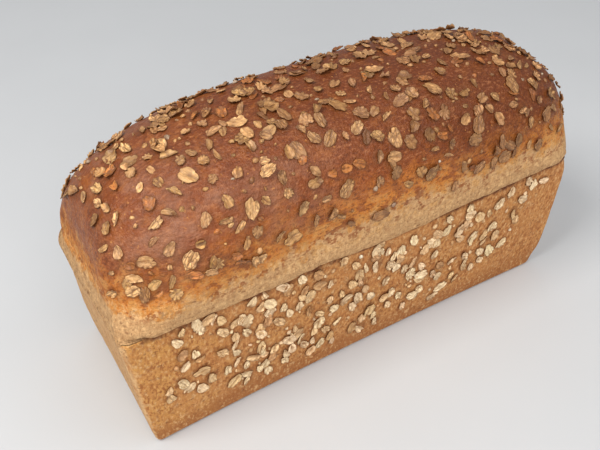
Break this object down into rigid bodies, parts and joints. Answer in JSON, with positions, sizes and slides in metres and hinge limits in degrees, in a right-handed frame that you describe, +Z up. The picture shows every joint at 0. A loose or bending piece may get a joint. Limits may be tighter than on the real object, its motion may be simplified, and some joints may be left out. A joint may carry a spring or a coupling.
{
  "type": "tin loaf with oat flakes",
  "caption": "Long wholemeal tin loaf: plain leaning sides, a crease at the tin's rim and a domed crown, with oat flakes baked onto the crown and the long sides.",
  "frame": {"origin": "below the middle of the loaf's outline, on the surface that it stands on", "axes": "+Z up, X along the loaf, -Y towards the loaf's front"},
  "size_m": [0.261, 0.0978, 0.1445],
  "materials": {
    "crust": "matte baked crust: dark reddish brown with a faint sheen on the crown, pale and torn just above the crease, orange tan where the tin was",
    "toasted_oat": "dry, slightly satin rolled oat, toasted golden to dark brown",
    "pale_oat": "dry, matte rolled oat, cream, pressed against the tin while it baked"
  },
  "bodies": {
    "root": {"loaf": "crust", "crown_flake_01": "toasted_oat", "crown_flake_02": "toasted_oat", "crown_flake_03": "toasted_oat", "crown_flake_04": "toasted_oat", "crown_flake_05": "toasted_oat", "crown_flake_06": "toasted_oat", "crown_flake_07": "toasted_oat", "crown_flake_08": "toasted_oat", "crown_flake_09": "toasted_oat", "crown_flake_10": "toasted_oat", "crown_flake_11": "toasted_oat", "crown_flake_12": "toasted_oat", "crown_flake_13": "toasted_oat", "crown_flake_14": "toasted_oat", "crown_flake_15": "toasted_oat", "crown_flake_16": "toasted_oat", "crown_flake_17": "toasted_oat", "crown_flake_18": "toasted_oat", "crown_flake_19": "toasted_oat", "crown_flake_20": "toasted_oat", "crown_flake_21": "toasted_oat", "crown_flake_22": "toasted_oat", "crown_flake_23": "toasted_oat", "crown_flake_24": "toasted_oat", "crown_flake_25": "toasted_oat", "crown_flake_26": "toasted_oat", "crown_flake_27": "toasted_oat", "crown_flake_28": "toasted_oat", "crown_flake_29": "toasted_oat", "crown_flake_30": "toasted_oat", "crown_flake_31": "toasted_oat", "crown_flake_32": "toasted_oat", "crown_flake_33": "toasted_oat", "crown_flake_34": "toasted_oat", "crown_flake_35": "toasted_oat", "crown_flake_36": "toasted_oat", "front_flake_01": "pale_oat", "front_flake_02": "pale_oat", "front_flake_03": "pale_oat", "front_flake_04": "pale_oat", "front_flake_05": "pale_oat", "front_flake_06": "pale_oat", "front_flake_07": "pale_oat", "front_flake_08": "pale_oat", "front_flake_09": "pale_oat", "front_flake_10": "pale_oat", "front_flake_11": "pale_oat", "front_flake_12": "pale_oat", "front_flake_13": "pale_oat", "back_flake_01": "pale_oat", "back_flake_02": "pale_oat", "back_flake_03": "pale_oat", "back_flake_04": "pale_oat", "back_flake_05": "pale_oat", "back_flake_06": "pale_oat", "back_flake_07": "pale_oat", "back_flake_08": "pale_oat", "back_flake_09": "pale_oat"}
  },
  "joints": []
}
